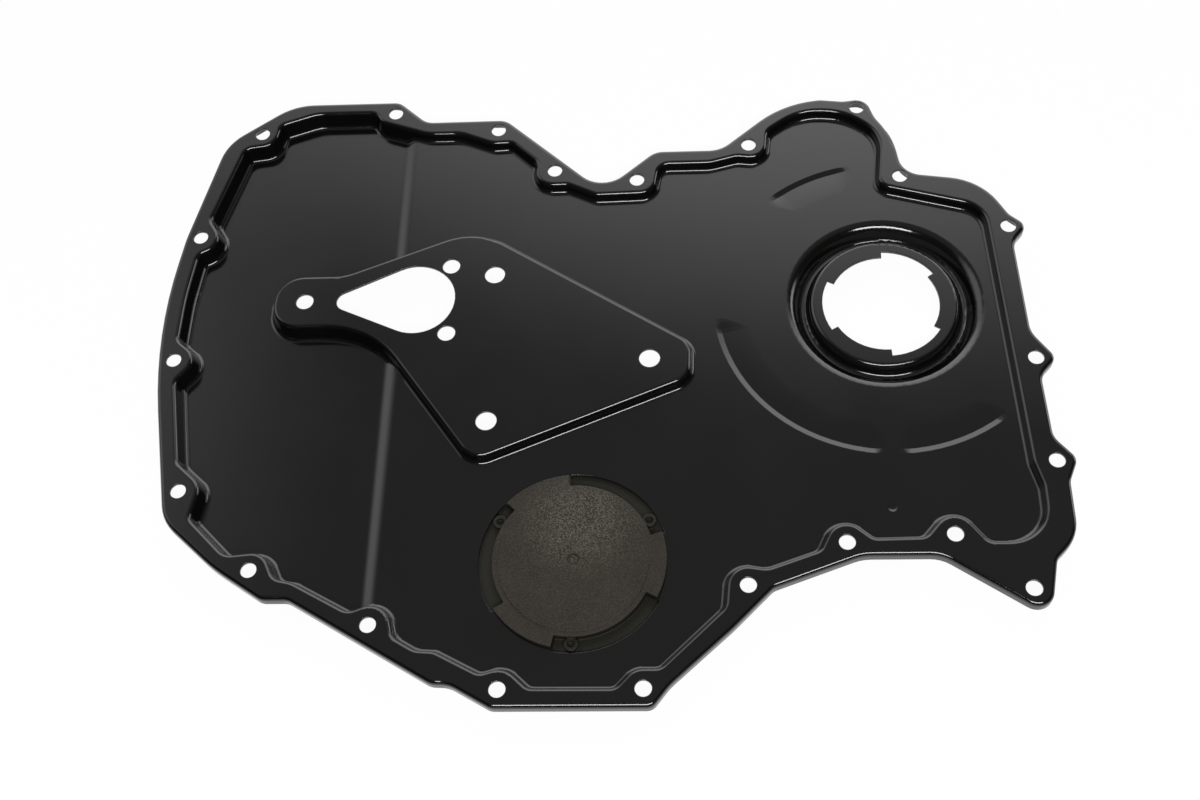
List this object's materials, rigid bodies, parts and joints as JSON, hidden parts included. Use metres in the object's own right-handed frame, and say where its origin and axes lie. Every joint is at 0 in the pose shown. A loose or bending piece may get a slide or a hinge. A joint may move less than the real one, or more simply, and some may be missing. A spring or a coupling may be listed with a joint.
{
  "type": "engine front cover",
  "caption": "Pressed steel engine front cover with a turned-down rim, scalloped bolt flange, raised pad, grooved crank seat and moulded service plug.",
  "frame": {"origin": "crank axis on the plane of the sealing flange", "axes": "+Z square to the flange towards the engine, with the sealing face up; +X towards the crank end of the cover; +Y along the step between the two floors"},
  "size_m": [0.4066, 0.3122, 0.0135],
  "materials": {
    "black_steel": "satin black coating on pressed steel",
    "plug_plastic": "grained dark brown-grey moulding",
    "seal_rubber": "matt black rubber"
  },
  "bodies": {
    "root": {"cover_pressing": "black_steel", "access_plug": "plug_plastic", "plug_seal_ring": "seal_rubber"}
  },
  "joints": []
}
